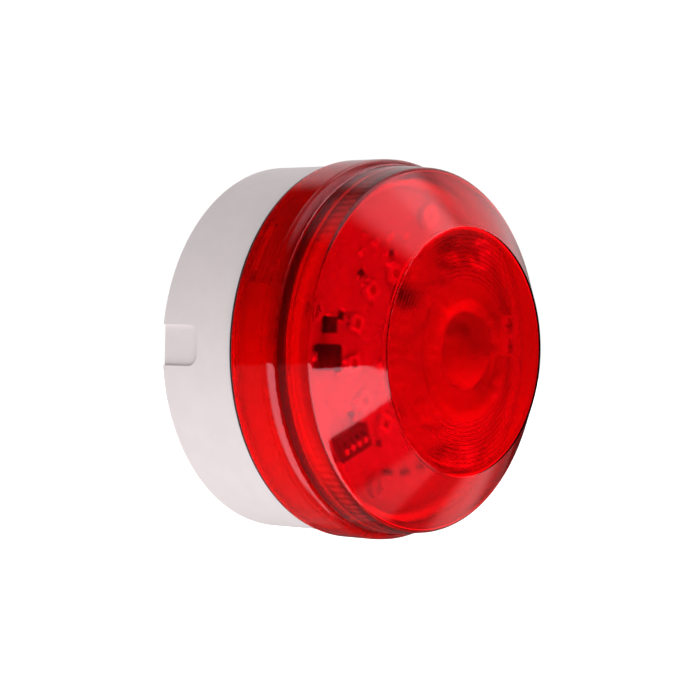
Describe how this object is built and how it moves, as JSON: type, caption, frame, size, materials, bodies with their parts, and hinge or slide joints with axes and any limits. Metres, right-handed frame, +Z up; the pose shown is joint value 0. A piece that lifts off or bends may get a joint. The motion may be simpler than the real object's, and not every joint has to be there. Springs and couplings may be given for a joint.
{
  "type": "wall-mounted alarm beacon",
  "caption": "Round wall-mounted LED alarm beacon: red clear twist-off lens with a conical front and flat disc over a white base, with a populated round board inside.",
  "frame": {"origin": "centre of the base's back face, midway between the two wall-fixing slots, on the wall's plane", "axes": "+Y runs into the wall, so the front faces -Y; +Z is up the wall and +X to the right seen from the front"},
  "size_m": [0.098, 0.0604, 0.098],
  "materials": {
    "white_shell": "fine matt moulded ABS, warm white",
    "red_lens": "clear red polished polycarbonate, see-through",
    "seal_rubber": "matt black elastomer",
    "white_board": "white solder mask on glass-fibre laminate",
    "led_package": "white reflector plastic",
    "led_window": "clear silicone window",
    "switch_body": "dark moulded plastic",
    "switch_slider": "white moulded plastic",
    "chip_black": "black epoxy moulding",
    "tinned_metal": "bright tin plating",
    "ferrite": "dark grey ferrite compound",
    "can_aluminium": "drawn aluminium can",
    "chip_ceramic": "sintered ceramic, tan",
    "terminal_grey": "light grey moulded polyamide",
    "plated_steel": "zinc-plated steel",
    "terminal_metal": "nickel-plated brass"
  },
  "bodies": {
    "base": {"base_housing": "white_shell", "entry_grommet": "seal_rubber", "lens_gasket": "seal_rubber", "spigot_o_ring": "seal_rubber", "main_board": "white_board", "board_screws": "plated_steel", "led_packages": "led_package", "led_windows": "led_window", "dip_switch_body": "switch_body", "controller_body": "chip_black", "controller_leads": "tinned_metal", "drive_transistors": "chip_black", "power_inductor": "ferrite", "rectifier_diode": "chip_black", "capacitor_cans": "can_aluminium", "capacitor_bases": "chip_black", "chip_resistors": "chip_black", "chip_capacitors": "chip_ceramic", "terminal_block": "terminal_grey", "terminal_screws": "plated_steel", "terminal_clamps": "terminal_metal"},
    "lens": {"lens": "red_lens"},
    "dip_slider_1": {"dip_slider_1": "switch_slider"},
    "dip_slider_2": {"dip_slider_2": "switch_slider"},
    "dip_slider_3": {"dip_slider_3": "switch_slider"},
    "dip_slider_4": {"dip_slider_4": "switch_slider"}
  },
  "joints": [
    {"name": "lens_twist", "type": "hinge", "parent": "base", "child": "lens", "pos_m": [0, 0, 0], "axis": [0, -1, 0], "range_deg": [0, 25]},
    {"name": "dip_1_slide", "type": "slide", "parent": "base", "child": "dip_slider_1", "axis": [-0.3746, 0, 0.9272], "range_m": [0, 0.0016]},
    {"name": "dip_2_slide", "type": "slide", "parent": "base", "child": "dip_slider_2", "axis": [-0.3746, 0, 0.9272], "range_m": [0, 0.0016]},
    {"name": "dip_3_slide", "type": "slide", "parent": "base", "child": "dip_slider_3", "axis": [-0.3746, 0, 0.9272], "range_m": [0, 0.0016]},
    {"name": "dip_4_slide", "type": "slide", "parent": "base", "child": "dip_slider_4", "axis": [-0.3746, 0, 0.9272], "range_m": [0, 0.0016]}
  ]
}
